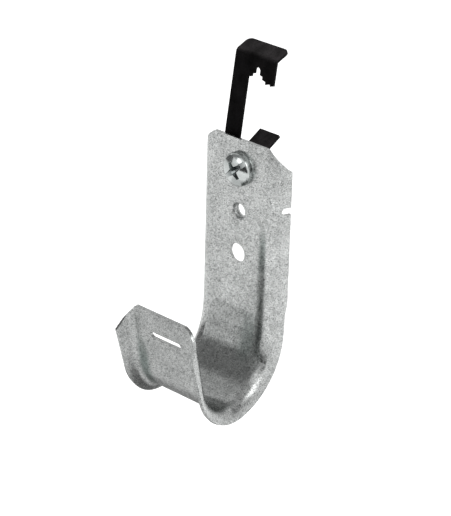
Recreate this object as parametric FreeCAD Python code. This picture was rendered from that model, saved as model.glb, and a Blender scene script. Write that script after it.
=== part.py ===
import FreeCAD
import Part
import math
import os
from collections import namedtuple
from FreeCAD import Vector

# J hook for a bundle of cables, folded from one galvanised sheet. Its upper hole carries a black spring
# clip, held by one pan head screw that is driven into the clip's own tapped collar.
# Sizes are in millimetres and degrees. +Z is up, the loop opens towards -Y and the cable runs along X.
# The origin is the centre of the plain fixing hole, on the plate's back face.

# The sheet
sheet_thickness = 1.2
flat_half_width = 13.4      # of the flat between the two rolled edges
plate_height = 64.1         # from the start of the loop to the plate's top edge

# The loop's inner face is four arcs from the plate round to the lip, each with its radius and end
# angle. The first is shallow, and starts at the line that the forming tool leaves across the plate
shallow_radius = 68.0
shallow_end = 6.0
plate_side_radius = 23.4
plate_side_end = 74.1
floor_radius = 10.1
floor_end = 129.0
lip_side_radius = 15.8
lip_side_end = 168.5
lip_length = 25.1           # of the straight lip above the last arc

# Rolled edges: bend radius on the front face, angle of the fold, width measured over the front face
Rolled = namedtuple("Rolled", "radius angle width")
edge_on_plate = Rolled(6.15, 76.5, 9.4)
edge_round_loop = edge_on_plate._replace(width=8.5)
edge_at_lip_top = Rolled(5.0, 69.0, 10.1)
foot_height = 7.0           # where the plate's rims start to narrow, above the start of the loop

# Sheared corners: half width left at the top edge, drop of the slanted cut from there to the rim, and
# the round on the blunt corner between the two
plate_top_half_width = 12.6
plate_corner_drop = 8.0
plate_corner_round = 1.0
lip_top_half_width = 12.4
lip_corner_drop = 10.4
lip_corner_round = 2.0

# Holes in the plate, all on its middle line
lower_hole_height = 21.0    # above the start of the loop
hole_pitch = 16.1
lower_hole_radius = 3.5
screw_hole_radius = 3.5

# Burred and tapped hole: the sheet is drawn out behind into a short collar for a quarter inch thread
thread_radius = 3.175
tapped_bore_radius = 2.65
collar_wall = 0.95
collar_reach = 1.9          # beyond the back face
collar_root = 0.5           # of the slope where the collar leaves the sheet
collar_bite = 0.4           # how deep in the sheet the collar's solid starts
mouth_radius = 0.75         # of the rolled-in mouth on the front face

# Notch in each rolled edge, open at the rim, and slot through the lip, both for a cable tie or retainer
notch_height = 41.6         # above the start of the loop
notch_width = 2.6
notch_depth = 3.6           # along the fold, in from the rim
slot_below_lip_top = 9.8
slot_length = 15.0
slot_width = 2.5
slot_offset = 0.9           # the slot is a little to the right of the middle

# Spring clip: one strip behind the plate, slit in two above the screw
clip_thickness = 0.9
clip_half_width = 9.525
clip_foot_below_screw = 8.5
arm_width = 7.0             # the left part, which goes on up as the arm
arm_bend_above_screw = 5.4
arm_lean = 8.8
arm_length = 35.4           # from that bend to the bend at the head's top
arm_bend_radius = 2.0
top_flange_turn = 59.5
top_flange_length = 7.0
top_flange_bend_radius = 0.9
top_corner_round = 2.1
wing_width = 9.3            # the right part, which is the short wing
wing_bend_above_screw = 7.8
wing_lean = 60.0
wing_length = 9.7
wing_bend_radius = 1.2
wing_corner_round = 0.3
slit_start_above_screw = 5.2

# The head's jaw is cut from below in three steps, for two sizes of hanger wire and a quarter inch rod
jaw_centre = 1.6
jaw_mouth_height = 26.2     # of the prong's lower end, above the arm's bend
jaw_steps = ((4.1, 27.2), (2.5, 28.6), (1.2, 31.4))   # half width and upper end of each step
jaw_step_slope = 0.35       # the steps' shoulders rise inwards
prong_tooth_width = 1.5
prong_tooth_depth = 0.65
prong_tooth_lean = 0.2      # of the tooth's inner flank

# Pan head screw for a flat or a cross driver, quarter inch thread: a slot runs right across the head
# along two of the cross's wings
head_radius = 6.2
head_rim_height = 1.2
head_height = 3.6
head_shoulder_radius = 1.4  # of the round between the rim and the domed crown
shank_length = 9.5
shank_point = 0.5
recess_half_span = 3.7
recess_half_wing = 0.75
recess_core_share = 1.5     # the corners between the wings, as a share of the wing's half width
recess_depth = 2.9
recess_foot_scale = 0.5
recess_turn = 40.0
driver_slot_width = 1.6
driver_slot_depth = 1.5     # below the crown
thread_clearance = 0.03     # the shank's crests lie this far inside the clip's collar

# Heights in the part's own frame
loop_start_z = -lower_hole_height
upper_hole_z = hole_pitch
screw_z = 2 * hole_pitch
front_y = -sheet_thickness
cut_margin = 1.0            # how far cutting tools pass the faces they cut
corner_stations = 8         # along each slanted cut
corner_overrun = 4          # stations past the rim
edge_stations = 2           # along each rolled edge of the lip
round_slopes = 3            # in each small turned round

# A place on the sheet's inner face: its height and depth, and how far the sheet has turned so far
Place = namedtuple("Place", "y z turn")
upright = Vector(0, 0, 1)
across = Vector(1, 0, 0)


def ease(share):
    """Smooth step from 0 to 1."""
    share = min(max(share, 0.0), 1.0)
    return share * share * (3 - 2 * share)


def between(first, second, share):
    """Rolled edge part way between two others."""
    return Rolled(*(a + (b - a) * share for a, b in zip(first, second)))


def outward(place):
    """Unit direction from the inner face through the sheet."""
    turn = math.radians(place.turn)
    return Vector(0, math.cos(turn), -math.sin(turn))


def point(place, x, depth):
    return Vector(x, place.y, place.z) + outward(place) * depth


def arc_centre(place, radius):
    return point(place, 0, -radius)


def turned(place, radius, end):
    """Place where an arc that starts at the given place has turned to its end angle."""
    there = Place(0, 0, end)
    spot = arc_centre(place, radius) + outward(there) * radius
    return Place(spot.y, spot.z, end)


loop_start = Place(front_y, loop_start_z, 0.0)
plate_side_start = turned(loop_start, shallow_radius, shallow_end)
floor_start = turned(plate_side_start, plate_side_radius, plate_side_end)
lip_arc_start = turned(floor_start, floor_radius, floor_end)
lip_start = turned(lip_arc_start, lip_side_radius, lip_side_end)


def plate_place(height):
    return Place(front_y, loop_start_z + height, 0.0)


def lip_place(length):
    """Place on the straight lip, at a length above the last arc."""
    turn = math.radians(lip_side_end)
    y = lip_start.y - math.sin(turn) * length
    z = lip_start.z - math.cos(turn) * length
    return Place(y, z, lip_side_end)


def plate_edge(height):
    """Rolled edge at a height of the plate, the same all the way up."""
    return edge_on_plate


def lip_edge(length):
    return between(edge_round_loop, edge_at_lip_top, ease(length / lip_length))


def over_fold(rolled, span, depth):
    """Half-section of the sheet: x and distance outward, for a span measured over the front face."""
    past = span - flat_half_width
    if past <= 0:
        return span, depth
    angle = min(past / rolled.radius, math.radians(rolled.angle))
    straight = past - rolled.radius * angle
    x = flat_half_width + (rolled.radius - depth) * math.sin(angle) + straight * math.cos(angle)
    out = rolled.radius - (rolled.radius - depth) * math.cos(angle) + straight * math.sin(angle)
    return x, out


def sheet_point(place, rolled, side, span, depth):
    x, out = over_fold(rolled, span, depth)
    return point(place, side * x, out)


def bend_edges(place, rolled, side):
    """Arcs of the bend on the front face, outward, and on the back face, inward."""
    bend = rolled.radius * math.radians(rolled.angle)
    spans = [flat_half_width + share * bend for share in (0, 0.5, 1)]
    front = [sheet_point(place, rolled, side, span, 0) for span in spans]
    back = [sheet_point(place, rolled, side, span, sheet_thickness) for span in reversed(spans)]
    return Part.Arc(*front).toShape(), Part.Arc(*back).toShape()


def fold_edges(place, rolled, side):
    """Edges round the rolled edge's section, from the flat's front over the rim to its back."""
    front, back = bend_edges(place, rolled, side)
    rim = flat_half_width + rolled.width
    front_rim = sheet_point(place, rolled, side, rim, 0)
    back_rim = sheet_point(place, rolled, side, rim, sheet_thickness)
    return [
        front,
        Part.makeLine(front.lastVertex().Point, front_rim),
        Part.makeLine(front_rim, back_rim),
        Part.makeLine(back_rim, back.firstVertex().Point),
        back,
    ]


def fold_wire(place, rolled, side):
    """Closed section of one rolled edge alone."""
    x = side * flat_half_width
    root = Part.makeLine(point(place, x, sheet_thickness), point(place, x, 0))
    return Part.Wire(fold_edges(place, rolled, side) + [root])


def sheet_section(place, rolled):
    """Closed section across the whole sheet."""
    right = fold_edges(place, rolled, 1)
    left = fold_edges(place, rolled, -1)
    x = flat_half_width
    front = Part.makeLine(point(place, -x, 0), point(place, x, 0))
    back = Part.makeLine(point(place, x, sheet_thickness), point(place, -x, sheet_thickness))
    return Part.Face(Part.Wire(Part.__sortEdges__([front] + right + [back] + left)))


def plate_bend(side):
    """Bend of the plate's rolled edge."""
    top = plate_place(plate_height)
    front, back = bend_edges(top, edge_on_plate, side)
    ends = [
        Part.makeLine(front.lastVertex().Point, back.firstVertex().Point),
        Part.makeLine(back.lastVertex().Point, front.firstVertex().Point),
    ]
    face = Part.Face(Part.Wire([front, ends[0], back, ends[1]]))
    return face.extrude(upright * -plate_height)


def plate_flare(side):
    """Flat part of the plate's rolled edge. Below the foot height its rim narrows in a smooth S."""
    bend_end = flat_half_width + edge_on_plate.radius * math.radians(edge_on_plate.angle)
    wide = flat_half_width + edge_on_plate.width
    narrow = flat_half_width + edge_round_loop.width

    def spot(height, span, depth=0):
        return sheet_point(plate_place(height), edge_on_plate, side, span, depth)

    rim = Part.BezierCurve()
    rim.setPoles([
        spot(foot_height, wide),
        spot(foot_height * 2 / 3, wide),
        spot(foot_height / 3, narrow),
        spot(0, narrow),
    ])
    face = Part.Face(Part.Wire([
        Part.makeLine(spot(0, bend_end), spot(plate_height, bend_end)),
        Part.makeLine(spot(plate_height, bend_end), spot(plate_height, wide)),
        Part.makeLine(spot(plate_height, wide), spot(foot_height, wide)),
        rim.toShape(),
        Part.makeLine(spot(0, narrow), spot(0, bend_end)),
    ]))
    return face.extrude(spot(0, wide, sheet_thickness) - spot(0, wide))


def flat_panel(start, end):
    """Flat between the rolled edges, from one place to another in line with it."""
    corners = [
        point(start, -flat_half_width, 0),
        point(start, flat_half_width, 0),
        point(start, flat_half_width, sheet_thickness),
        point(start, -flat_half_width, sheet_thickness),
    ]
    face = Part.Face(Part.makePolygon(corners + corners[:1]))
    return face.extrude(point(end, 0, 0) - point(start, 0, 0))


def rolled_strip(sections, side):
    """Rolled edge lofted through sections, each a place and its edge."""
    return Part.makeLoft([fold_wire(place, rolled, side) for place, rolled in sections], True, False)


def loop_arc(place, radius, end):
    """Whole section carried round one arc of the loop."""
    section = sheet_section(place, edge_round_loop)
    return section.revolve(arc_centre(place, radius), across, place.turn - end)


def corner_tool(place_at, edge_at, top, top_span, drop, side, direction):
    """Solid that shears one corner: a ruled cut square through the sheet, swept off towards the top."""
    rim_span = flat_half_width + edge_at(top).width
    curves = []
    for depth in (-cut_margin / 2, sheet_thickness + cut_margin / 2):
        spots = []
        for step in range(-1, corner_stations + corner_overrun + 1):
            share = step / corner_stations
            at = top - drop * share
            span = top_span + (rim_span - top_span) * share
            spots.append(sheet_point(place_at(at), edge_at(at), side, span, depth))
        curve = Part.BSplineCurve()
        curve.interpolate(spots)
        curves.append(curve.toShape())
    return Part.makeRuledSurface(*curves).extrude(direction * (2 * drop))


def hole_tool(z, radius):
    start = Vector(0, front_y - cut_margin, z)
    return Part.makeCylinder(radius, sheet_thickness + 2 * cut_margin, start, Vector(0, 1, 0))


def lathed(z, steps):
    """Solid turned about a hole's axis. A step is a corner's radius and y, or an arc's middle and
    end."""
    spot = Vector(steps[0][0], steps[0][1], z)
    edges = []
    for step in steps[1:] + steps[:1]:
        end = Vector(step[-2], step[-1], z)
        if len(step) == 4:
            edges.append(Part.Arc(spot, Vector(step[0], step[1], z), end).toShape())
        else:
            edges.append(Part.makeLine(spot, end))
        spot = end
    return Part.Face(Part.Wire(edges)).revolve(Vector(0, 0, z), Vector(0, 1, 0), 360)


def round_corners(centre, radius, start, end):
    """Corners along a small turned round in radius and y, from one angle to another."""
    corners = []
    for step in range(round_slopes + 1):
        angle = math.radians(start + (end - start) * step / round_slopes)
        corners.append((centre[0] + radius * math.cos(angle), centre[1] + radius * math.sin(angle)))
    return corners


def drawn_collar(z, face_y, bore):
    """Collar drawn out behind a face, with a slope round its root."""
    wall = bore + collar_wall
    root = wall + collar_root
    start_y = face_y - collar_bite
    end_y = face_y + collar_reach
    return lathed(z, [
        (bore, start_y),
        (root, start_y),
        (root, face_y),
        (wall, face_y + collar_root),
        (wall, end_y),
        (bore, end_y),
    ])


def drawn_bore(z, front, back_y, bore):
    """Bore of a drawn collar, with the mouth rolled in from the front face."""
    end_y = back_y + collar_reach + cut_margin
    mouth = bore + mouth_radius
    mouth_round = round_corners((mouth, front + mouth_radius), mouth_radius, -90, -180)
    above = [(0, front - cut_margin), (mouth, front - cut_margin)]
    return lathed(z, above + mouth_round + [(bore, end_y), (0, end_y)])


def stadium(centre, along, crosswise, length, width, sweep):
    """Round-ended slot, swept along a direction."""
    half = along * ((length - width) / 2)
    side = crosswise * (width / 2)
    tip = along * (length / 2)
    wire = Part.Wire([
        Part.makeLine(centre - half + side, centre + half + side),
        Part.Arc(centre + half + side, centre + tip, centre + half - side).toShape(),
        Part.makeLine(centre + half - side, centre - half - side),
        Part.Arc(centre - half - side, centre - tip, centre - half + side).toShape(),
    ])
    return Part.Face(wire).extrude(sweep)


def edge_notch(side):
    """Notch through one rolled edge, open at the rim, with a round inner end."""
    place = plate_place(notch_height)
    rolled = plate_edge(notch_height)
    inner_x, inner_out = over_fold(rolled, flat_half_width + rolled.width - notch_depth, 0)
    length = 4 * notch_depth
    centre = point(place, side * flat_half_width, inner_out + length / 2)
    sweep = across * (side * (rolled.radius + cut_margin))
    return stadium(centre, Vector(0, 1, 0), upright, length, notch_width, sweep)


def lip_slot():
    place = lip_place(lip_length - slot_below_lip_top)
    up = (point(lip_place(lip_length), 0, 0) - point(lip_start, 0, 0)).normalize()
    centre = point(place, slot_offset, -cut_margin)
    sweep = outward(place) * (sheet_thickness + 2 * cut_margin)
    return stadium(centre, across, up, slot_length, slot_width, sweep)


def rounded(shape, radius, spots):
    """Rounds the edges through the thickness whose middles lie at the spots."""
    edges = []
    for edge in shape.Edges:
        middle = edge.valueAt((edge.FirstParameter + edge.LastParameter) / 2)
        if min(middle.distanceToPoint(spot) for spot in spots) < sheet_thickness / 4:
            edges.append(edge)
    return shape.makeFillet(radius, edges)


def corner_middles(place, x):
    """Middles, through the thickness, of the left and right corners of the sheet's top edge."""
    return [point(place, side * x, sheet_thickness / 2) for side in (-1, 1)]


def j_hook():
    lengths = [lip_length * step / edge_stations for step in range(edge_stations + 1)]
    lip_rims = [(lip_place(length), lip_edge(length)) for length in lengths]
    pieces = [
        flat_panel(loop_start, plate_place(plate_height)),
        loop_arc(loop_start, shallow_radius, shallow_end),
        loop_arc(plate_side_start, plate_side_radius, plate_side_end),
        loop_arc(floor_start, floor_radius, floor_end),
        loop_arc(lip_arc_start, lip_side_radius, lip_side_end),
        flat_panel(lip_start, lip_place(lip_length)),
    ]
    for side in (-1, 1):
        pieces.append(plate_bend(side))
        pieces.append(plate_flare(side))
        pieces.append(rolled_strip(lip_rims, side))
    sheet = pieces[0].multiFuse(pieces[1:]).removeSplitter()

    lip_top = lip_place(lip_length)
    lip_up = (point(lip_top, 0, 0) - point(lip_start, 0, 0)).normalize()
    plate_cut = (plate_place, plate_edge, plate_height, plate_top_half_width, plate_corner_drop)
    lip_cut = (lip_place, lip_edge, lip_length, lip_top_half_width, lip_corner_drop)
    tools = []
    for side in (-1, 1):
        tools.append(corner_tool(*plate_cut, side, upright))
        tools.append(corner_tool(*lip_cut, side, lip_up))
        tools.append(edge_notch(side))
    tools.append(hole_tool(0, lower_hole_radius))
    tools.append(hole_tool(screw_z, screw_hole_radius))
    tools.append(lip_slot())
    sheet = sheet.cut(tools)

    plate_top = plate_place(plate_height)
    sheet = rounded(sheet, plate_corner_round, corner_middles(plate_top, plate_top_half_width))
    sheet = rounded(sheet, lip_corner_round, corner_middles(lip_top, lip_top_half_width))
    sheet = sheet.fuse(drawn_collar(upper_hole_z, 0, tapped_bore_radius))
    return sheet.cut(drawn_bore(upper_hole_z, front_y, 0, tapped_bore_radius))


def bent_strip(foot_z, runs, x_from, x_to, tip_round):
    """Strip bent about X from its foot up, with two rounded corners at its tip. A run is its length
    between sharp corners, then the bend's inner radius and its turn back."""
    y = 0.0
    z = foot_z
    lean = 0.0
    front = []
    back = []
    taken = 0.0
    for length, radius, turn in runs:
        outer = radius + clip_thickness
        tangent = outer * math.tan(math.radians(turn) / 2)
        ahead = Vector(0, math.sin(math.radians(lean)), math.cos(math.radians(lean)))
        behind = Vector(0, ahead.z, -ahead.y)
        spot = Vector(0, y, z)
        end = spot + ahead * (length - taken - tangent)
        front.append(Part.makeLine(spot, end))
        back.append(Part.makeLine(end + behind * clip_thickness, spot + behind * clip_thickness))
        if turn:
            centre = end + behind * outer
            ways = []
            for share in (0, 0.5, 1):
                angle = math.radians(lean + turn * share)
                ways.append(Vector(0, -math.cos(angle), math.sin(angle)))
            front.append(Part.Arc(*(centre + way * outer for way in ways)).toShape())
            back.append(Part.Arc(*(centre + way * radius for way in reversed(ways))).toShape())
            end = centre + ways[2] * outer
        y = end.y
        z = end.z
        lean += turn
        taken = tangent
    ahead = Vector(0, math.sin(math.radians(lean)), math.cos(math.radians(lean)))
    behind = Vector(0, ahead.z, -ahead.y)
    end = Vector(0, y, z)
    tip = Part.makeLine(end, end + behind * clip_thickness)
    foot = Part.makeLine(Vector(0, clip_thickness, foot_z), Vector(0, 0, foot_z))
    face = Part.Face(Part.Wire(Part.__sortEdges__(front + [tip] + back + [foot])))
    face.translate(across * x_from)
    strip = face.extrude(across * (x_to - x_from))
    middle = end + behind * (clip_thickness / 2)
    return rounded(strip, tip_round, [middle + across * x_from, middle + across * x_to])


def clip_frame():
    """Root of the leaning arm on its front face, its upward direction and the direction through it."""
    lean = math.radians(arm_lean)
    root = Vector(0, 0, screw_z + arm_bend_above_screw)
    return root, Vector(0, math.sin(lean), math.cos(lean)), Vector(0, math.cos(lean), -math.sin(lean))


def jaw_outline():
    """Points of the jaw in x and height up the arm, from the prong's outer side round to the arm."""
    mouth = jaw_mouth_height
    tooth = clip_half_width - prong_tooth_width
    points = [
        (clip_half_width + cut_margin, mouth + prong_tooth_depth),
        (tooth, mouth),
        (tooth - prong_tooth_lean, mouth + prong_tooth_depth),
        (jaw_centre + jaw_steps[0][0], mouth),
    ]
    left = []
    for (half, top), (inner, _) in zip(jaw_steps, jaw_steps[1:]):
        points += [(jaw_centre + half, top), (jaw_centre + inner, top + jaw_step_slope)]
        left = [(jaw_centre - inner, top + jaw_step_slope), (jaw_centre - half, top)] + left
    half, top = jaw_steps[-1]
    crown = [(jaw_centre + half, top - half), (jaw_centre - half, top - half)]
    return points + crown + left[:-1] + [(arm_width - clip_half_width, jaw_steps[0][1])]


def spring_clip():
    foot_z = screw_z - clip_foot_below_screw
    arm_side = [
        (clip_foot_below_screw + arm_bend_above_screw, arm_bend_radius, arm_lean),
        (arm_length, top_flange_bend_radius, top_flange_turn),
        (top_flange_length, 0, 0),
    ]
    wing_side = [
        (clip_foot_below_screw + wing_bend_above_screw, wing_bend_radius, wing_lean),
        (wing_length, 0, 0),
    ]
    half_width = clip_half_width
    strip = bent_strip(foot_z, arm_side, -half_width, half_width, top_corner_round)
    wing = bent_strip(foot_z, wing_side, half_width - wing_width, half_width, wing_corner_round)

    root, up, through = clip_frame()
    arm_edge = arm_width - clip_half_width
    slit_foot = slit_start_above_screw - arm_bend_above_screw
    outline = [(arm_edge, slit_foot), (clip_half_width + cut_margin, slit_foot)] + jaw_outline()
    before = through * -cut_margin
    depth = clip_thickness + 2 * cut_margin
    corners = [root + across * x + up * height + before for x, height in outline]
    window = Part.Face(Part.makePolygon(corners + corners[:1])).extrude(through * depth)
    half, top = jaw_steps[-1]
    crown_centre = root + across * jaw_centre + up * (top - half) + before
    crown = Part.makeCylinder(half, depth, crown_centre, through)
    clip = strip.cut([window, crown]).fuse(wing).removeSplitter()

    bore = thread_radius + thread_clearance
    clip = clip.fuse(drawn_collar(screw_z, clip_thickness, bore))
    bore_start = Vector(0, -cut_margin, screw_z)
    bore_length = clip_thickness + collar_reach + 2 * cut_margin
    return clip.cut(Part.makeCylinder(bore, bore_length, bore_start, Vector(0, 1, 0)))


def pan_head_screw():
    """Rim, shoulder and dome in one smooth line: the dome's centre follows from the head's height."""
    shoulder_r = head_radius - head_shoulder_radius
    rise = head_height - head_rim_height - head_shoulder_radius
    dome_back = (shoulder_r ** 2 - rise ** 2) / (2 * rise)
    dome_radius = head_shoulder_radius + math.hypot(shoulder_r, dome_back)
    meet = math.degrees(math.atan2(dome_back, shoulder_r))
    rim_y = front_y - head_rim_height
    crown_y = front_y - head_height
    end_y = front_y + shank_length
    shoulder = round_corners((shoulder_r, rim_y), head_shoulder_radius, -meet, 0)
    half_way = math.radians((meet + 90) / 2)
    middle_r = dome_radius * math.cos(half_way)
    middle_y = rim_y + dome_back - dome_radius * math.sin(half_way)
    screw = lathed(screw_z, [
        (0, crown_y),
        (middle_r, middle_y) + shoulder[0],
        *shoulder[1:],
        (head_radius, front_y),
        (thread_radius, front_y),
        (thread_radius, end_y - shank_point),
        (thread_radius - shank_point, end_y),
        (0, end_y),
    ])
    return screw.cut([cross_recess(crown_y), driver_slot(crown_y)])


def cross_recess(crown_y):
    """Tapered cross, widest at the crown."""
    sections = []
    for depth, scale in ((0, 1.0), (recess_depth, recess_foot_scale)):
        span = recess_half_span * scale
        wing = recess_half_wing * (1 + scale) / 2
        core = wing * recess_core_share
        corners = [(span, -wing), (span, wing), (core, core)]
        ring = []
        for quarter in range(4):
            angle = math.radians(recess_turn + 90 * quarter)
            for a, b in corners:
                x = a * math.cos(angle) - b * math.sin(angle)
                z = a * math.sin(angle) + b * math.cos(angle)
                ring.append(Vector(x, crown_y + depth, screw_z + z))
        sections.append(Part.makePolygon(ring + ring[:1]))
    return Part.makeLoft(sections, True, True)


def driver_slot(crown_y):
    """Open at both sides of the head."""
    length = 2 * (head_radius + cut_margin)
    corner = Vector(-length / 2, crown_y - cut_margin, screw_z - driver_slot_width / 2)
    slot = Part.makeBox(length, cut_margin + driver_slot_depth, driver_slot_width, corner)
    slot.rotate(Vector(0, 0, screw_z), Vector(0, 1, 0), -recess_turn)
    return slot


nodes = {
    "j_hook": j_hook,
    "spring_clip": spring_clip,
    "pan_head_screw": pan_head_screw,
}

os.makedirs("parts", exist_ok=True)
for name, build in nodes.items():
    shape = build()
    solids = shape.Solids
    print(name, "solids", len(solids), "valid", shape.isValid(), "volume", round(shape.Volume, 2))
    (solids[0] if len(solids) == 1 else shape).exportStep("parts/" + name + ".step")
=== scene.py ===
import math

import bpy
import numpy as np
from mathutils import Matrix, Vector


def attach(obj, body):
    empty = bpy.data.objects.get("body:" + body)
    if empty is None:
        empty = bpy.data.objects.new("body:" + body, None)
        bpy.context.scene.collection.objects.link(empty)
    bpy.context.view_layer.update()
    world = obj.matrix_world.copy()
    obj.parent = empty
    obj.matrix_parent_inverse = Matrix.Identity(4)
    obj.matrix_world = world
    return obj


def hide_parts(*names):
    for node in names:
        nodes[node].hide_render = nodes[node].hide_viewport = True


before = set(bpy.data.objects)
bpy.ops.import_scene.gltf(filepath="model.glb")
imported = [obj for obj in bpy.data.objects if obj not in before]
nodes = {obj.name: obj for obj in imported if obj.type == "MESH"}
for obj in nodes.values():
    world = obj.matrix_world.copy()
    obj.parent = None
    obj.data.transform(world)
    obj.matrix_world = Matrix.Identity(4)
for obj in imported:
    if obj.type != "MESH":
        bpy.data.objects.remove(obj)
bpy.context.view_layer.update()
mm = 0.001
print("frame loaded:", sorted(nodes))


# sRGB hex to the linear colour that the shader takes
def linear(hexCode):
    srgb = np.array([int(hexCode[i:i + 2], 16) for i in (1, 3, 5)]) / 255
    low = srgb / 12.92
    high = ((srgb + 0.055) / 1.055) ** 2.4
    return (*np.where(srgb <= 0.04045, low, high).tolist(), 1.0)


# one node with its settings and its inputs: a value is set, a socket is linked
def addNode(tree, kind, settings=None, inputs=None):
    node = tree.nodes.new(kind)
    for name, value in (settings or {}).items():
        setattr(node, name, value)
    for name, value in (inputs or {}).items():
        if isinstance(value, bpy.types.NodeSocket):
            tree.links.new(value, node.inputs[name])
        else:
            node.inputs[name].default_value = value
    return node


def newMaterial(name):
    material = bpy.data.materials.new(name)
    material.use_nodes = True
    material.node_tree.nodes.clear()
    return material, material.node_tree


# points (rows, columns, 3) in metres become one closed mesh: the columns always join up again, and
# the rows either join up too or run out in a fan at each end
def gridMesh(name, points, joinRows=False):
    rows, columns = points.shape[:2]
    r, c = np.meshgrid(np.arange(rows if joinRows else rows - 1), np.arange(columns), indexing="ij")
    nextRow, nextColumn = (r + 1) % rows, (c + 1) % columns
    faces = np.stack([r * columns + c, nextRow * columns + c, nextRow * columns + nextColumn,
                      r * columns + nextColumn], axis=-1).reshape(-1, 4).tolist()
    flat = points.reshape(-1, 3)
    if not joinRows:
        ring = np.arange(columns)
        after = (ring + 1) % columns
        first = np.full(columns, len(flat))
        last = (rows - 1) * columns
        faces += np.stack([first, ring, after], axis=-1).tolist()
        faces += np.stack([first + 1, last + after, last + ring], axis=-1).tolist()
        flat = np.vstack([flat, points[0].mean(axis=0), points[-1].mean(axis=0)])
    mesh = bpy.data.meshes.new(name)
    mesh.from_pydata(flat.tolist(), [], faces)
    mesh.polygons.foreach_set("use_smooth", np.ones(len(mesh.polygons), dtype=bool))
    mesh.update()
    piece = bpy.data.objects.new(name, mesh)
    bpy.context.scene.collection.objects.link(piece)
    return piece


# Zinc dipped steel strip, skin passed and oiled: a mid grey with small feathery crystals that each
# catch the light a little differently, a fine salt and pepper grain over them, short dark scuffs
# from coiling and pressing, and slow cloudy patches. It is half dull, so it shows its surroundings
# as soft shapes. Inside the loop, below a sharp line across the plate, the lip's dark reflection is
# painted into the coat: painted reflection. The grain is drawn coarser than it is, so that it shows.
galvanised = {
    "light": "#eceeed",
    "dark": "#9a9c9b",
    "scuff": "#555857",
    # painted reflection: the dark tone of the lip's mirror image inside the loop
    "paintedLipReflection": "#8b8e8c",
    # painted shade: the teal grey of the dark bands along the bends
    "paintedBendShade": "#b9c3c0",
    "crystalMm": 1.1,
    "tearMm": 0.45,
    "tearReachMm": 0.8,
    "grainMm": 0.28,
    "patchMm": 9.0,
    # the tone: what it starts from, what each pattern adds, and where it is dark and light
    "toneStart": 0.075,
    "crystalShare": 0.12,
    "grainShare": 0.85,
    "patchShare": 0.25,
    "toneRange": (0.47, 0.9),
    # a scuff's length and width, each set's lean in degrees and the noise where it starts and is full
    "scuffMm": (1.2, 0.22),
    "scuffSets": ((28, 0.55, 0.64), (-55, 0.57, 0.67)),
    "scuffShare": 0.75,
    # the share of the lip's painted reflection in the coat; the same area is also glossier
    "lipReflectionShare": 0.4,
    "rubbedGloss": 0.12,
    "roughness": (0.2, 0.34),
    "bumpMm": 0.006,
    "edgeSoftMm": 0.12,
    # The area of painted reflection, the lip's dark mirror image: its top line's height and half
    # width, where its rounded ends start and end against that and how high they rise, how soft its
    # borders are, where along y it is none and full, and the loop's centre (y, z)
    "lipReflectionArea": {
        "lineMm": -21.0,
        "halfMm": 12.0,
        "endMm": (-2.5, 0.5),
        "endRiseMm": 3.0,
        "lineSoftMm": 0.3,
        "sideSoftMm": 3.0,
        "fadeMm": (-36, -8),
        "innerSoftMm": 1.0,
        "centreMm": (-21.0, -33.0),
    },
    # How far a face has to look forward for none and for all of it. The lean: where along x it
    # starts, is full and ends, and where along y it is none and full. Each band of painted shade along
    # a bend: where along x it starts, is full, stays full and ends, the same along y and z, and its
    # share.
    "bend": {
        "facing": (-0.3, -0.6),
        "leanMm": (9.2, 13.7, 19.5),
        "leanDeepMm": (-4.5, -2),
        "lean": 0.38,
        "bands": (
            ((9.6, 11.8, 12.6, 14.4), (-9, -5, 4, 5), (-9, 3, 6, 15), 0.75),
            ((1.5, 6.0, 8.5, 11.0), (-9, -5, 4, 5), (-41, -35, -28, -19), 0.6),
            ((-15.5, -13.5, -11.5, -8.5), (-60, -50, -28, -20), (-56, -50, -36, -22), 1.0),
        ),
    },
}


# short dark strokes that lean one way: noise stretched along one direction, cut off near its peaks
def scuffMask(tree, place, leanDegrees, low, high):
    long, short = (1 / (size * mm) for size in galvanised["scuffMm"])
    leaning = addNode(tree, "ShaderNodeVectorRotate", {"rotation_type": "Y_AXIS"}, {
        "Vector": place, "Angle": math.radians(leanDegrees)})
    stretched = addNode(tree, "ShaderNodeVectorMath", {"operation": "MULTIPLY"}, {
        0: leaning.outputs[0], 1: (long, 0.5 * (long + short), short)})
    strokes = addNode(tree, "ShaderNodeTexNoise", inputs={
        "Vector": stretched.outputs[0], "Scale": 1.0, "Detail": 1.5, "Roughness": 0.6})
    return addNode(tree, "ShaderNodeMapRange", inputs={
        "Value": strokes.outputs["Fac"], "From Min": low, "From Max": high}).outputs[0]
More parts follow.
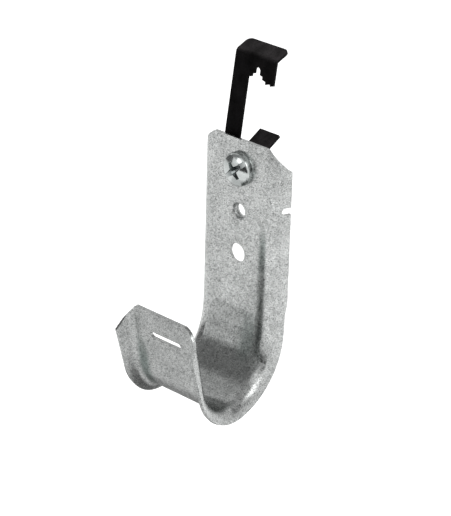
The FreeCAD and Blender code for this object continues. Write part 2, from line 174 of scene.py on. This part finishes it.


# 1 on the flat of the loop's inner face below the top line of the lip's painted reflection, whose
# ends are rounded, else 0; it fades towards the lip
def lipReflectionMask(tree, coordinates):
    f = galvanised["lipReflectionArea"]
    spot = addNode(tree, "ShaderNodeSeparateXYZ", inputs={"Vector": coordinates.outputs["Object"]})
    sideways = addNode(tree, "ShaderNodeMath", {"operation": "ABSOLUTE"}, {0: spot.outputs["X"]})
    ends = addNode(tree, "ShaderNodeMapRange", {"interpolation_type": "SMOOTHSTEP"}, {
        "Value": sideways.outputs[0], "From Min": (f["halfMm"] + f["endMm"][0]) * mm,
        "From Max": (f["halfMm"] + f["endMm"][1]) * mm, "To Max": f["endRiseMm"] * mm})
    level = addNode(tree, "ShaderNodeMath", {"operation": "ADD"}, {
        0: spot.outputs["Z"], 1: ends.outputs[0]})
    line = addNode(tree, "ShaderNodeMapRange", inputs={
        "Value": level.outputs[0], "From Min": (f["lineMm"] + f["lineSoftMm"]) * mm,
        "From Max": (f["lineMm"] - f["lineSoftMm"]) * mm})
    flat = addNode(tree, "ShaderNodeMapRange", {"interpolation_type": "SMOOTHSTEP"}, {
        "Value": sideways.outputs[0], "From Min": (f["halfMm"] + f["sideSoftMm"]) * mm,
        "From Max": f["halfMm"] * mm})
    fade = addNode(tree, "ShaderNodeMapRange", inputs={
        "Value": spot.outputs["Y"], "From Min": f["fadeMm"][0] * mm, "From Max": f["fadeMm"][1] * mm})
    below = addNode(tree, "ShaderNodeMath", {"operation": "MULTIPLY"}, {
        0: line.outputs[0], 1: flat.outputs[0]})
    below = addNode(tree, "ShaderNodeMath", {"operation": "MULTIPLY"}, {
        0: below.outputs[0], 1: fade.outputs[0]})
    y, z = f["centreMm"]
    flattened = addNode(tree, "ShaderNodeVectorMath", {"operation": "MULTIPLY"}, {
        0: coordinates.outputs["Object"], 1: (0, 1, 1)})
    inward = addNode(tree, "ShaderNodeVectorMath", {"operation": "SUBTRACT"}, {
        0: (0, y * mm, z * mm), 1: flattened.outputs[0]})
    facing = addNode(tree, "ShaderNodeVectorMath", {"operation": "DOT_PRODUCT"}, {
        0: inward.outputs[0], 1: coordinates.outputs["Normal"]})
    inner = addNode(tree, "ShaderNodeMapRange", inputs={
        "Value": facing.outputs["Value"], "From Min": 0.0, "From Max": f["innerSoftMm"] * mm})
    return addNode(tree, "ShaderNodeMath", {"operation": "MULTIPLY"}, {
        0: below.outputs[0], 1: inner.outputs[0]}).outputs[0]


# the product of smooth steps, each from a value, where it is 0 and where it is 1
def steps(tree, rows):
    share = None
    for value, none, full in rows:
        step = addNode(tree, "ShaderNodeMapRange", {"interpolation_type": "SMOOTHSTEP"}, {
            "Value": value, "From Min": none, "From Max": full}).outputs[0]
        share = step if share is None else addNode(tree, "ShaderNodeMath", {"operation": "MULTIPLY"}, {
            0: share, 1: step}).outputs[0]
    return share


# Both masks are for faces that look forward: how far the shading leans outwards beside the plate's
# right bend, as if its roll started sooner, and where bands of painted shade lie along the bends of
# the plate and the lip.
def bendMasks(tree, coordinates):
    b = galvanised["bend"]
    spot = addNode(tree, "ShaderNodeSeparateXYZ", inputs={
        "Vector": coordinates.outputs["Object"]}).outputs
    face = addNode(tree, "ShaderNodeSeparateXYZ", inputs={
        "Vector": coordinates.outputs["Normal"]}).outputs
    forward = (face["Y"], *b["facing"])
    start, full, end = (size * mm for size in b["leanMm"])
    deepNone, deepFull = (size * mm for size in b["leanDeepMm"])
    lean = steps(tree, [forward, (spot["Y"], deepNone, deepFull),
                        (spot["X"], start, full), (spot["X"], end, full)])
    bands = None
    for across, deep, height, share in b["bands"]:
        rows = [forward]
        for axis, reach in zip("XYZ", (across, deep, height)):
            none, low, high, gone = (size * mm for size in reach)
            rows += [(spot[axis], none, low), (spot[axis], gone, high)]
        band = addNode(tree, "ShaderNodeMath", {"operation": "MULTIPLY"}, {
            0: steps(tree, rows), 1: share}).outputs[0]
        bands = band if bands is None else addNode(tree, "ShaderNodeMath", {"operation": "MAXIMUM"}, {
            0: bands, 1: band}).outputs[0]
    return lean, bands


def galvanisedSteel():
    g = galvanised
    material, tree = newMaterial("galvanisedSteel")
    coordinates = addNode(tree, "ShaderNodeTexCoord")
    place = coordinates.outputs["Object"]
    grain = addNode(tree, "ShaderNodeTexNoise", inputs={
        "Vector": place, "Scale": 1 / (g["grainMm"] * mm), "Detail": 3.0, "Roughness": 0.62})
    # the crystals' borders are torn by a little noise, so they look feathery
    tear = addNode(tree, "ShaderNodeTexNoise", inputs={
        "Vector": place, "Scale": 1 / (g["tearMm"] * mm), "Detail": 2.0})
    shift = addNode(tree, "ShaderNodeVectorMath", {"operation": "MULTIPLY_ADD"}, {
        0: tear.outputs["Color"], 1: (g["tearReachMm"] * mm,) * 3, 2: place})
    crystal = addNode(tree, "ShaderNodeTexVoronoi", inputs={
        "Vector": shift.outputs[0], "Scale": 1 / (g["crystalMm"] * mm)})
    parts = addNode(tree, "ShaderNodeSeparateColor", inputs={"Color": crystal.outputs["Color"]})
    patch = addNode(tree, "ShaderNodeTexNoise", inputs={
        "Vector": place, "Scale": 1 / (g["patchMm"] * mm), "Detail": 2.0})
    # tone: grain, crystals and patches together
    tone = addNode(tree, "ShaderNodeMath", {"operation": "MULTIPLY_ADD"}, {
        0: parts.outputs[0], 1: g["crystalShare"], 2: g["toneStart"]})
    tone = addNode(tree, "ShaderNodeMath", {"operation": "MULTIPLY_ADD"}, {
        0: grain.outputs["Fac"], 1: g["grainShare"], 2: tone.outputs[0]})
    tone = addNode(tree, "ShaderNodeMath", {"operation": "MULTIPLY_ADD"}, {
        0: patch.outputs["Fac"], 1: g["patchShare"], 2: tone.outputs[0]})
    spread = addNode(tree, "ShaderNodeMapRange", inputs={
        "Value": tone.outputs[0], "From Min": g["toneRange"][0], "From Max": g["toneRange"][1]})
    zinc = addNode(tree, "ShaderNodeMix", {"data_type": "RGBA"}, {
        "Factor": spread.outputs[0], 6: linear(g["dark"]), 7: linear(g["light"])})
    first, second = (scuffMask(tree, place, *scuffSet) for scuffSet in g["scuffSets"])
    strokes = addNode(tree, "ShaderNodeMath", {"operation": "MAXIMUM"}, {0: first, 1: second})
    scuffed = addNode(tree, "ShaderNodeMath", {"operation": "MULTIPLY"}, {
        0: strokes.outputs[0], 1: g["scuffShare"]})
    coat = addNode(tree, "ShaderNodeMix", {"data_type": "RGBA"}, {
        "Factor": scuffed.outputs[0], 6: zinc.outputs[2], 7: linear(g["scuff"])})
    # painted reflection: the lip's dark mirror image is multiplied into the coat, and that area is also
    # glossier
    lipReflectionArea = addNode(tree, "ShaderNodeMath", {"operation": "MULTIPLY"}, {
        0: lipReflectionMask(tree, coordinates), 1: g["lipReflectionShare"]})
    paintedLipReflection = addNode(tree, "ShaderNodeMix", {"data_type": "RGBA", "blend_type": "MULTIPLY"}, {
        "Factor": lipReflectionArea.outputs[0], 6: coat.outputs[2], 7: linear(g["paintedLipReflection"])})
    lean, bands = bendMasks(tree, coordinates)
    # painted shade: dark bands along the bends of the plate and the lip, multiplied into the colour
    withBendShade = addNode(tree, "ShaderNodeMix", {"data_type": "RGBA", "blend_type": "MULTIPLY"}, {
        "Factor": bands, 6: paintedLipReflection.outputs[2], 7: linear(g["paintedBendShade"])})
    dull = addNode(tree, "ShaderNodeMapRange", inputs={
        "Value": parts.outputs[1], "To Min": g["roughness"][0], "To Max": g["roughness"][1]})
    rough = addNode(tree, "ShaderNodeMath", {"operation": "MULTIPLY_ADD"}, {
        0: lipReflectionArea.outputs[0], 1: -g["rubbedGloss"], 2: dull.outputs[0]})
    soft = addNode(tree, "ShaderNodeBevel", {"samples": 6}, {"Radius": g["edgeSoftMm"] * mm})
    sideways = addNode(tree, "ShaderNodeMath", {"operation": "MULTIPLY"}, {
        0: lean, 1: g["bend"]["lean"]})
    outwards = addNode(tree, "ShaderNodeCombineXYZ", inputs={"X": sideways.outputs[0]})
    leaning = addNode(tree, "ShaderNodeVectorMath", {"operation": "ADD"}, {
        0: soft.outputs[0], 1: outwards.outputs[0]})
    leaning = addNode(tree, "ShaderNodeVectorMath", {"operation": "NORMALIZE"}, {0: leaning.outputs[0]})
    bump = addNode(tree, "ShaderNodeBump", inputs={
        "Height": tone.outputs[0], "Distance": g["bumpMm"] * mm, "Strength": 1.0,
        "Normal": leaning.outputs[0]})
    shader = addNode(tree, "ShaderNodeBsdfPrincipled", inputs={
        "Base Color": withBendShade.outputs[2], "Metallic": 1.0, "Roughness": rough.outputs[0],
        "Normal": bump.outputs[0]})
    addNode(tree, "ShaderNodeOutputMaterial", inputs={"Surface": shader.outputs[0]})
    return material


# Hardened strip, phosphated and oiled: nearly black, a dull sheen, and a fine crystalline grain
# that breaks the highlight up. The grain is drawn much coarser than it is, so that it shows.
blackClip = {
    "base": "#0f0e0e",
    "worn": "#2a2829",
    "grainMm": 0.3,
    "patchMm": 5.0,
    "toneRange": (0.15, 0.42),  # the tones of the base and of the worn colour
    "dullRange": (0.3, 0.7),    # the noise at the two roughnesses
    "roughness": (0.36, 0.55),
    "specularLevel": 0.02,
    "bumpMm": 0.018,
    "edgeSoftMm": 0.1,
}


def phosphatedSteel():
    b = blackClip
    material, tree = newMaterial("phosphatedSpringSteel")
    place = addNode(tree, "ShaderNodeTexCoord").outputs["Object"]
    grain = addNode(tree, "ShaderNodeTexNoise", inputs={
        "Vector": place, "Scale": 1 / (b["grainMm"] * mm), "Detail": 3.0, "Roughness": 0.65})
    patch = addNode(tree, "ShaderNodeTexNoise", inputs={
        "Vector": place, "Scale": 1 / (b["patchMm"] * mm), "Detail": 3.0})
    tone = addNode(tree, "ShaderNodeMath", {"operation": "MULTIPLY"}, {
        0: grain.outputs["Fac"], 1: patch.outputs["Fac"]})
    spread = addNode(tree, "ShaderNodeMapRange", inputs={
        "Value": tone.outputs[0], "From Min": b["toneRange"][0], "From Max": b["toneRange"][1]})
    colour = addNode(tree, "ShaderNodeMix", {"data_type": "RGBA"}, {
        "Factor": spread.outputs[0], 6: linear(b["base"]), 7: linear(b["worn"])})
    rough = addNode(tree, "ShaderNodeMapRange", inputs={
        "Value": patch.outputs["Fac"], "From Min": b["dullRange"][0], "From Max": b["dullRange"][1],
        "To Min": b["roughness"][0], "To Max": b["roughness"][1]})
    soft = addNode(tree, "ShaderNodeBevel", {"samples": 6}, {"Radius": b["edgeSoftMm"] * mm})
    bump = addNode(tree, "ShaderNodeBump", inputs={
        "Height": grain.outputs["Fac"], "Distance": b["bumpMm"] * mm, "Strength": 1.0,
        "Normal": soft.outputs[0]})
    shader = addNode(tree, "ShaderNodeBsdfPrincipled", inputs={
        "Base Color": colour.outputs[2], "Specular IOR Level": b["specularLevel"],
        "Roughness": rough.outputs[0], "Normal": bump.outputs[0]})
    addNode(tree, "ShaderNodeOutputMaterial", inputs={"Surface": shader.outputs[0]})
    return material


# Electroplated zinc with a clear passivate on a cold headed screw: nearly a mirror, faintly blue,
# with small ripples left by the heading die. The cross recess is painted darker the deeper it lies:
# painted shade. The grain is drawn coarser than it is, so that it shows.
brightZinc = {
    "light": "#d6dad9",
    "dark": "#b4b9b8",
    # painted shade: the dark tone deep in the cross recess
    "recess": "#6a6e70",
    "recessShare": 0.75,
    "edgeSoftMm": 0.16,
    "rippleMm": 1.6,
    "grainMm": 0.25,
    "dullRange": (0.3, 0.7),  # the noise at the two roughnesses
    "roughness": (0.1, 0.2),
    "bumpMm": 0.012,
}


def zincPlate():
    z = brightZinc
    material, tree = newMaterial("brightZincPlate")
    place = addNode(tree, "ShaderNodeTexCoord").outputs["Object"]
    ripple = addNode(tree, "ShaderNodeTexNoise", inputs={
        "Vector": place, "Scale": 1 / (z["rippleMm"] * mm), "Detail": 2.0})
    grain = addNode(tree, "ShaderNodeTexNoise", inputs={
        "Vector": place, "Scale": 1 / (z["grainMm"] * mm), "Detail": 2.0})
    colour = addNode(tree, "ShaderNodeMix", {"data_type": "RGBA"}, {
        "Factor": grain.outputs["Fac"], 6: linear(z["dark"]), 7: linear(z["light"])})
    # painted shade: the cross recess darkens the deeper it lies
    recess = addNode(tree, "ShaderNodeAttribute", {"attribute_name": "recess"})
    paintedRecessShade = addNode(tree, "ShaderNodeMath", {"operation": "MULTIPLY"}, {
        0: recess.outputs["Fac"], 1: z["recessShare"]})
    plated = addNode(tree, "ShaderNodeMix", {"data_type": "RGBA", "blend_type": "MULTIPLY"}, {
        "Factor": paintedRecessShade.outputs[0], 6: colour.outputs[2], 7: linear(z["recess"])})
    rough = addNode(tree, "ShaderNodeMapRange", inputs={
        "Value": grain.outputs["Fac"], "From Min": z["dullRange"][0], "From Max": z["dullRange"][1],
        "To Min": z["roughness"][0], "To Max": z["roughness"][1]})
    soft = addNode(tree, "ShaderNodeBevel", {"samples": 6}, {"Radius": z["edgeSoftMm"] * mm})
    bump = addNode(tree, "ShaderNodeBump", inputs={
        "Height": ripple.outputs["Fac"], "Distance": z["bumpMm"] * mm, "Strength": 1.0,
        "Normal": soft.outputs[0]})
    shader = addNode(tree, "ShaderNodeBsdfPrincipled", inputs={
        "Base Color": plated.outputs[2], "Metallic": 1.0, "Roughness": rough.outputs[0],
        "Normal": bump.outputs[0]})
    addNode(tree, "ShaderNodeOutputMaterial", inputs={"Surface": shader.outputs[0]})
    return material


steel = galvanisedSteel()
black = phosphatedSteel()
zinc = zincPlate()
for nodeName, material in (("j_hook", steel), ("spring_clip", black), ("pan_head_screw", zinc)):
    for place in nodes[nodeName].material_slots:
        place.material = material
print("materials made")


# All sizes in mm. The head sits on the plate's front face and the shank points along +y. A slot for
# a flat driver runs right across the head along two wings of the tapered cross.
screw = {
    "heightZ": 32.2,
    "seatY": -1.2,
    "headRadius": 6.2,
    "rimHeight": 1.2,
    "edgeBreak": 0.2,
    "edgeMiddle": 0.06,       # the middle of the broken edge, in from the rim and up from the seat
    "shoulder": 1.4,
    "domeRadius": 13.42,
    "domeBack": 11.02,
    "recessHalfSpan": 3.7,
    "recessHalfWing": 0.75,
    "recessCore": 1.125,
    "recessDepth": 2.9,
    "recessCone": 0.35,
    "recessFoot": 0.5,
    "recessPoint": 0.1,       # the cone's end, like the foot a share of the mouth
    "recessTurn": 40.0,
    "slotHalfWidth": 0.8,
    "slotDepth": 1.5,
    "toolAbove": 0.5,         # how far the cutting tools reach past the crown and the rim
    "toolPast": 1.0,
    "shadeDepth": 1.2,        # the recess is fully dark from here on
    "shadeInset": 0.3,
    "sharpDegrees": 32,
    "neckRound": (0.3, 0.05),  # from the seat to the shank, out and down
    "shankLength": 9.5,
    "pointLength": 0.9,
    "crestRadius": 3.145,
    "rootRadius": 2.66,
    "pitch": 1.27,
    "flankSteep": 2.5,
    "rootFlat": 0.12,
    "firstRadius": 0.02,
    "domeRows": 28,
    "shoulderRows": 14,
    "shankRows": 150,
    "shankStart": 0.1,
    "columns": 180,
}


# Height above the seat at a radius: the dome's circle, then the shoulder's circle
def headHeight(radius):
    s = screw
    corner = s["headRadius"] - s["shoulder"]
    dome = np.sqrt(s["domeRadius"] ** 2 - radius ** 2) - s["domeBack"]
    shoulder = np.sqrt(np.maximum(s["shoulder"] ** 2 - (radius - corner) ** 2, 0.0))
    meet = corner + s["shoulder"] * corner / (s["domeRadius"] - s["shoulder"])
    return s["rimHeight"] + np.where(radius < meet, dome, shoulder)


# The thread's radius: a V between root and crest with small flats, wound right handed, that fades
# in under the head and out at the point
def threadRadius(along, angle):
    s = screw
    turnShare = (along / s["pitch"] + angle / (2 * np.pi)) % 1.0
    ridge = np.clip(np.abs(turnShare - 0.5) * s["flankSteep"] - s["rootFlat"], 0.0, 1.0)
    fadeIn = np.clip(along / s["pitch"], 0.0, 1.0)
    radius = s["rootRadius"] + (s["crestRadius"] - s["rootRadius"]) * ridge * fadeIn
    left = s["shankLength"] - along
    return np.minimum(radius, s["crestRadius"] - s["pointLength"] + left)


# One closed surface from the crown to the point, ring by ring: dome, shoulder, rim, seat and thread
def screwSurface():
    s = screw
    angle = np.linspace(0, 2 * np.pi, s["columns"], endpoint=False)
    corner = s["headRadius"] - s["shoulder"]
    dome = np.linspace(s["firstRadius"], corner, s["domeRows"])
    shoulder = corner + s["shoulder"] * np.sin(np.linspace(0, np.pi / 2, s["shoulderRows"] + 1)[1:])
    radii = [np.full_like(angle, r) for r in (*dome, *shoulder)]
    heights = [headHeight(r) for r in radii]
    neckOut, neckDown = s["neckRound"]
    for radius, height in ((s["headRadius"], s["edgeBreak"]),
                           (s["headRadius"] - s["edgeMiddle"], s["edgeMiddle"]),
                           (s["headRadius"] - s["edgeBreak"], 0.0),
                           (s["rootRadius"] + neckOut, 0.0), (s["rootRadius"], -neckDown)):
        radii.append(np.full_like(angle, radius))
        heights.append(np.full_like(angle, height))
    for along in np.linspace(s["shankStart"], s["shankLength"], s["shankRows"]):
        radii.append(threadRadius(along, angle))
        heights.append(np.full_like(angle, -along))
    return placedRings(np.array(radii), angle, np.array(heights))


# rings round the screw's axis, from radius, angle and height above the seat
def placedRings(radius, angle, height):
    s = screw
    return np.stack([radius * np.cos(angle), s["seatY"] - height,
                     s["heightZ"] + radius * np.sin(angle)], axis=-1) * mm


# Closed rings of one flat outline (a, b), turned to the wings: each ring has a scale for a, one for
# b and a depth below the crown
def turnedTool(name, outline, rings):
    s = screw
    crown = s["rimHeight"] + s["domeRadius"] - s["domeBack"]
    a, b = np.array(outline).T
    scaleA, scaleB, depth = np.array(rings).T[:, :, None]
    a, b = a * scaleA, b * scaleB
    angle = np.arctan2(b, a) + math.radians(s["recessTurn"])
    return gridMesh(name, placedRings(np.hypot(a, b), angle, crown - depth + 0 * a))


# four wings with a corner between each two, narrowing to a foot and ending in a short cone
def crossTool():
    s = screw
    span, wing, core = s["recessHalfSpan"], s["recessHalfWing"], s["recessCore"]
    quarter = np.array([(span, -wing), (span, wing), (core, core)])
    outline = []
    for _ in range(4):
        outline += quarter.tolist()
        quarter = np.stack([-quarter[:, 1], quarter[:, 0]], axis=-1)
    foot, end = s["recessFoot"], s["recessPoint"]
    return turnedTool("crossTool", outline, [
        (1.0, 1.0, -s["toolAbove"]), (1.0, 1.0, 0.0), (foot, foot, s["recessDepth"]),
        (end, end, s["recessDepth"] + s["recessCone"])])


# a straight bar, longer than the head is wide
def slotTool():
    s = screw
    length, half = s["headRadius"] + s["toolPast"], s["slotHalfWidth"]
    outline = [(length, -half), (length, half), (-length, half), (-length, -half)]
    return turnedTool("slotTool", outline, [(1.0, 1.0, -s["toolAbove"]), (1.0, 1.0, s["slotDepth"])])


# the tool's shape is taken out of the piece, and the tool goes
def cutAway(piece, tool):
    cut = piece.modifiers.new("cut", "BOOLEAN")
    cut.object, cut.operation, cut.solver = tool, "DIFFERENCE", "EXACT"
    graph = bpy.context.evaluated_depsgraph_get()
    mesh = bpy.data.meshes.new_from_object(piece.evaluated_get(graph))
    piece.modifiers.clear()
    piece.data = mesh
    bpy.data.objects.remove(tool)


panHeadScrew = gridMesh("pan_head_screw_detail", screwSurface())
cutAway(panHeadScrew, crossTool())
cutAway(panHeadScrew, slotTool())
screwMesh = panHeadScrew.data
screwMesh.polygons.foreach_set("use_smooth", np.ones(len(screwMesh.polygons), dtype=bool))
screwMesh.set_sharp_from_angle(angle=math.radians(screw["sharpDegrees"]))
# each point's depth under the dome, as a share of the depth that is fully dark: the recess's
# painted shade
spots = np.empty(3 * len(screwMesh.vertices))
screwMesh.vertices.foreach_get("co", spots)
x, y, z = spots.reshape(-1, 3).T / mm
outFromAxis = np.hypot(x, z - screw["heightZ"])
under = headHeight(np.minimum(outFromAxis, screw["headRadius"])) - (screw["seatY"] - y)
inHead = (y < screw["seatY"]) & (outFromAxis < screw["headRadius"] - screw["shadeInset"])
recess = screwMesh.attributes.new("recess", "FLOAT", "POINT")
recess.data.foreach_set("value", np.where(inHead, np.clip(under / screw["shadeDepth"], 0.0, 1.0), 0.0))
screwMesh.materials.append(zinc)
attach(panHeadScrew, "root")
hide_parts("pan_head_screw")
print("screw made")


# All sizes in mm. A sleeve whose inner face carries the thread and whose outer face lies in the
# wall of the drawn collar.
tapping = {
    "heightZ": 16.1,
    "startY": -0.35,
    "endY": 1.8,
    "wallRadius": 2.66,
    "depthInWall": 0.12,
    "crestRadius": 2.5,
    "pitch": 1.27,
    "flankSteep": 2.6,
    "crestFlat": 0.15,
    "fadeLength": 0.3,
    "rows": 90,
    "columns": 120,
}


# Radius of the sleeve's inner face: the wall, less a V ridge wound right handed that fades out at
# both ends
def tappingSurface():
    t = tapping
    angle = np.linspace(0, 2 * np.pi, t["columns"], endpoint=False)
    along = np.linspace(t["startY"], t["endY"], t["rows"])
    y, turn = np.meshgrid(along, angle, indexing="ij")
    turnShare = (y / t["pitch"] + turn / (2 * np.pi)) % 1.0
    ridge = np.clip(1 + t["crestFlat"] - np.abs(turnShare - 0.5) * t["flankSteep"], 0.0, 1.0)
    fade = np.clip(np.minimum(y - t["startY"], t["endY"] - y) / t["fadeLength"], 0.0, 1.0)
    inner = t["wallRadius"] - (t["wallRadius"] - t["crestRadius"]) * ridge * fade
    outer = np.full((2, t["columns"]), t["wallRadius"] + t["depthInWall"])
    radius = np.concatenate([inner, outer])
    yAll = np.concatenate([y, np.stack([y[-1], y[0]])])
    turnAll = np.concatenate([turn, turn[:2]])
    zAll = t["heightZ"] + radius * np.sin(turnAll)
    return np.stack([radius * np.cos(turnAll), yAll, zAll], axis=-1) * mm


# the rows run backwards, so that the faces look at the hole's axis
tappedThread = gridMesh("tapped_thread", tappingSurface()[::-1], joinRows=True)
tappedThread.data.materials.append(steel)
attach(tappedThread, "root")
print("thread made")


scene = bpy.context.scene
scene.view_settings.view_transform = "Standard"

# sizes in metres
studio = {
    "floorZ": -0.26,
    "floorSize": 6.0,
    "floorPale": "#a4a4a4",
    "floorRoughness": 0.9,
    "floorGlowSeen": 0.88,       # towards the camera
    "floorGlowMirrored": 0.615,  # towards metal
    "skySeen": 1.0,
    "skyMirrored": 1.0,
    "skyFill": 0.1,              # on all else
    # where each lamp stands, its size and its watts; metal doesn't mirror the lamps themselves
    "lamps": {
        "softTop": ((0.1, 0.35, 1.15), 1.0, 34.0),
        "keyLamp": ((0.15, -0.6, 0.85), 0.5, 0.3),
        "sideLamp": ((0.9, -0.1, 0.1), 0.5, 1.0),
    },
    # What the metal mirrors round the object: squares that face it, each given by azimuth,
    # elevation and half sizes in degrees, how far off it stands in metres, and its glow
    "cards": {
        "overheadCard": (0, 90, 33, 33, 1.0, 0.38),
        "upperLeftCard": (-137, 37, 22, 25, 0.9, 0.29),
        "farLeftCard": (177, 47, 20, 18, 0.92, 0.65),
        "lowLeftCard": (-157, 6, 22, 13, 0.94, 0.14),
        "backCard": (130, 28, 22, 19, 0.94, 0.72),
        "rightCard": (20, 42, 20, 17, 0.92, 0.3),
        "rightWall": (45, 28, 42, 26, 0.97, 0.7),
        "frontCard": (-70, 13, 24, 10, 0.93, 0.25),
        "keySoftbox": (-22, 40, 13, 13, 0.88, 2.4),
        "frontSoftbox": (-110, 14, 9, 7.5, 0.88, 2.2),
        "farPaper": (-75, -22, 38, 8, 0.6, 1.2),
        "nearPaper": (0, -90, 50, 50, 0.25, 0.72),
        "floorCard": (150, -50, 24, 16, 0.26, 0.28),
        "shadeCard": (10, -82, 29, 29, 0.245, 0.17),
        "screwFlag": (-74, 4.8, 38, 9.5, 0.149, 0.04),
    },
}


# a square in metres that looks along a direction, as one stage object
def stageSquare(name, at, half, facing):
    facing = np.array(facing) / np.linalg.norm(facing)
    side = np.cross((0.0, 0.0, 1.0) if abs(facing[2]) < 0.99 else (0.0, 1.0, 0.0), facing)
    side /= np.linalg.norm(side)
    up = np.cross(facing, side)
    signs = np.array([(-1, -1), (1, -1), (1, 1), (-1, 1)])
    corners = np.array(at) + signs[:, :1] * half[0] * side + signs[:, 1:] * half[1] * up
    mesh = bpy.data.meshes.new(name)
    mesh.from_pydata(corners.tolist(), [], [(0, 1, 2, 3)])
    square = bpy.data.objects.new(name, mesh)
    scene.collection.objects.link(square)
    return square


# a glow with one strength for the camera, one for mirroring metal and one for all else
def seenGlow(tree, camera, mirrored, unseen=0.0):
    rays = addNode(tree, "ShaderNodeLightPath")
    through = addNode(tree, "ShaderNodeMath", {"operation": "MAXIMUM"}, {
        0: rays.outputs["Is Glossy Ray"], 1: rays.outputs["Is Transmission Ray"]})
    metal = addNode(tree, "ShaderNodeMapRange", inputs={
        "Value": through.outputs[0], "To Min": unseen, "To Max": mirrored})
    return addNode(tree, "ShaderNodeMix", {"data_type": "FLOAT"}, {
        "Factor": rays.outputs["Is Camera Ray"], 2: metal.outputs[0], 3: camera}).outputs[0]


# The floor is pale paper that also glows for the camera and for the metal, so that it looks white
# and still takes the object's shadow
def buildFloor():
    material, tree = newMaterial("palePaper")
    shader = addNode(tree, "ShaderNodeBsdfPrincipled", inputs={
        "Base Color": linear(studio["floorPale"]), "Roughness": studio["floorRoughness"],
        "Emission Color": linear("#ffffff"),
        "Emission Strength": seenGlow(tree, studio["floorGlowSeen"], studio["floorGlowMirrored"])})
    addNode(tree, "ShaderNodeOutputMaterial", inputs={"Surface": shader.outputs[0]})
    half = studio["floorSize"] / 2
    floor = stageSquare("paperFloor", (0, 0, studio["floorZ"]), (half, half), (0, 0, 1))
    floor.data.materials.append(material)


def buildCards():
    for name, (azimuth, elevation, halfWide, halfHigh, far, glow) in studio["cards"].items():
        material, tree = newMaterial(name)
        shader = addNode(tree, "ShaderNodeEmission", inputs={
            "Color": linear("#ffffff"), "Strength": glow})
        addNode(tree, "ShaderNodeOutputMaterial", inputs={"Surface": shader.outputs[0]})
        a, e = math.radians(azimuth), math.radians(elevation)
        towards = np.array([math.cos(e) * math.cos(a), math.cos(e) * math.sin(a), math.sin(e)])
        half = [far * math.tan(math.radians(degrees)) for degrees in (halfWide, halfHigh)]
        card = stageSquare(name, towards * far, half, -towards)
        card.data.materials.append(material)
        card.visible_camera = False
        card.visible_shadow = False
        card.visible_diffuse = False


def buildSky():
    world = bpy.data.worlds.new("studioSky")
    world.use_nodes = True
    tree = world.node_tree
    tree.nodes.clear()
    glow = seenGlow(tree, studio["skySeen"], studio["skyMirrored"], studio["skyFill"])
    sky = addNode(tree, "ShaderNodeBackground", inputs={"Color": linear("#ffffff"), "Strength": glow})
    addNode(tree, "ShaderNodeOutputWorld", inputs={"Surface": sky.outputs[0]})
    scene.world = world


def buildLamps():
    for name, (at, size, watts) in studio["lamps"].items():
        data = bpy.data.lights.new(name, "AREA")
        data.energy = watts
        data.size = size
        lamp = bpy.data.objects.new(name, data)
        lamp.location = at
        lamp.rotation_euler = (-Vector(at)).to_track_quat("-Z", "Y").to_euler()
        lamp.visible_glossy = False
        scene.collection.objects.link(lamp)


buildFloor()
buildCards()
buildSky()
buildLamps()
print("stage lit")

# angles in degrees, lengths in mm: where the camera stands round the origin point, how far the
# origin lies off its axis and away from it, and its lens; it sees from near to far in metres
photoView = {
    "azimuth": 43.416,
    "elevation": 24.287,
    "roll": -1.617,
    "offset": (3.481, -21.23, -849.27),
    "origin": (0.0, 1.2, 25.4),
    "lens": 164.9,
    "nearFar": (0.05, 20.0),
}


def placeCamera():
    v = photoView
    a, e, r = (math.radians(v[k]) for k in ("azimuth", "elevation", "roll"))
    right = np.array([math.cos(a), math.sin(a), 0])
    back = np.array([math.sin(a) * math.cos(e), -math.cos(a) * math.cos(e), math.sin(e)])
    turn = np.array([[math.cos(r), -math.sin(r), 0], [math.sin(r), math.cos(r), 0], [0, 0, 1]])
    axes = turn @ np.stack([right, np.cross(back, right), back])
    place = np.eye(4)
    place[:3, :3] = axes.T
    place[:3, 3] = (axes.T @ -np.array(v["offset"]) - np.array(v["origin"])) * mm
    data = bpy.data.cameras.new("photoCamera")
    data.lens = v["lens"]
    data.clip_start, data.clip_end = v["nearFar"]
    camera = bpy.data.objects.new("photoCamera", data)
    scene.collection.objects.link(camera)
    camera.matrix_world = Matrix(place.tolist())
    scene.camera = camera


placeCamera()
print("camera placed")
